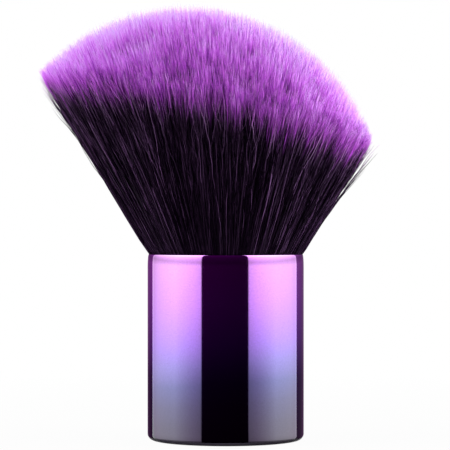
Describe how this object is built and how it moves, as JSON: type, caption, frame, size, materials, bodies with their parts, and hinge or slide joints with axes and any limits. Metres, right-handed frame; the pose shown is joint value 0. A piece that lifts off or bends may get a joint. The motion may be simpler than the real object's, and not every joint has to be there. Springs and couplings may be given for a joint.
{
  "type": "kabuki makeup brush",
  "caption": "Short-handled kabuki brush with a straight round metal handle and a wide flared tuft trimmed to a slanted dome, for loose and pressed face powder.",
  "frame": {"origin": "centre of the handle's flat base", "axes": "+Z along the handle's axis, up through the tuft; +X towards the low side of the slanted cut; -Y towards the camera"},
  "size_m": [0.067, 0.0676, 0.0887],
  "materials": {
    "shell_metal": "mirror-bright metallised lacquer, purple at the lip fading to blue-black at the base",
    "bond_adhesive": "cured adhesive",
    "weight_steel": "turned steel, zinc plated",
    "core_abs": "moulded ABS, satin",
    "ferrule_metal": "drawn aluminium, bright",
    "potting_resin": "cured epoxy, amber",
    "waxed_thread": "waxed polyester thread",
    "tuft_fibre": "fine synthetic fibre, near-black with purple to lilac tips"
  },
  "bodies": {
    "root": {"handle_shell": "shell_metal", "weight_bond": "bond_adhesive", "base_weight": "weight_steel", "core_plug": "core_abs", "tuft_ferrule": "ferrule_metal", "root_potting": "potting_resin", "binding_thread": "waxed_thread", "bristle_tuft": "tuft_fibre"}
  },
  "joints": []
}
